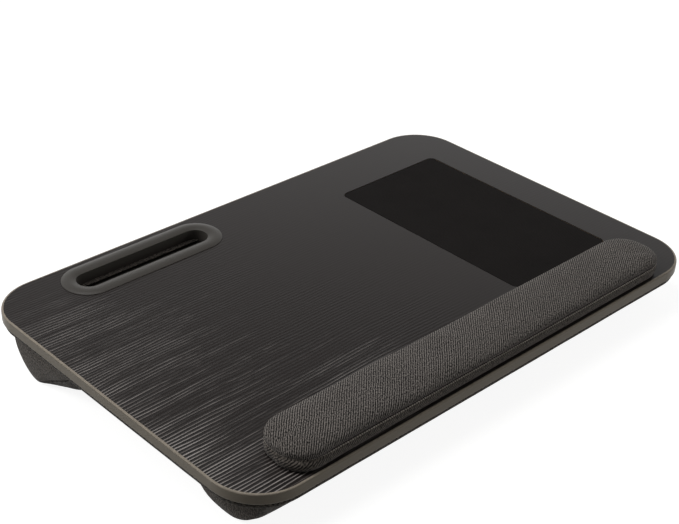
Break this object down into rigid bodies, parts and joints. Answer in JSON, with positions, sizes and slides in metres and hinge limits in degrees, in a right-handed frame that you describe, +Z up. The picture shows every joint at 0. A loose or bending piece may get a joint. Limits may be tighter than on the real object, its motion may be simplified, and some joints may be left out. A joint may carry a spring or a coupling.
{
  "type": "lap desk",
  "caption": "Lap desk: a woodgrain board with an edge trim, a phone slot, an inlaid mouse pad and a padded wrist rest, on two fabric bolsters.",
  "frame": {"origin": "middle of the footprint on the surface that the bolsters stand on", "axes": "+Z up, +X to the user's right, +Y away from the user; the deck rises towards +Y by 2.75 degrees"},
  "size_m": [0.536, 0.356, 0.0641],
  "materials": {
    "mdf_board": "matte",
    "woodgrain_laminate": "satin",
    "backer_paper": "matte",
    "edge_trim": "satin",
    "phone_tray": "satin",
    "pad_rubber": "matte",
    "pad_cloth": "matte",
    "rest_board": "matte",
    "rest_foam": "matte",
    "rest_boxing_cloth": "matte",
    "rest_top_cloth": "matte",
    "rest_seam_cloth": "matte",
    "foam_tape": "matte",
    "base_panel": "matte",
    "base_cloth": "matte",
    "staple_wire": "satin",
    "bolster_cloth": "matte",
    "bolster_end_cloth": "matte",
    "bead_fill": "matte"
  },
  "bodies": {
    "root": {"core_board": "mdf_board", "top_laminate": "woodgrain_laminate", "backer_sheet": "backer_paper", "edge_trim": "edge_trim", "phone_tray": "phone_tray", "mouse_pad_base": "pad_rubber", "mouse_pad_cloth": "pad_cloth", "wrist_rest_board": "rest_board", "wrist_rest_foam": "rest_foam", "wrist_rest_boxing": "rest_boxing_cloth", "wrist_rest_top": "rest_top_cloth", "wrist_rest_seam": "rest_seam_cloth", "wrist_rest_tape": "foam_tape", "base_panel": "base_panel", "base_cloth": "base_cloth", "cloth_staples": "staple_wire", "mounting_tape": "foam_tape", "rear_bolster_cover": "bolster_cloth", "rear_bolster_end_left": "bolster_end_cloth", "rear_bolster_end_right": "bolster_end_cloth", "rear_bolster_fill": "bead_fill", "front_bolster_cover": "bolster_cloth", "front_bolster_end_left": "bolster_end_cloth", "front_bolster_end_right": "bolster_end_cloth", "front_bolster_fill": "bead_fill"}
  },
  "joints": []
}
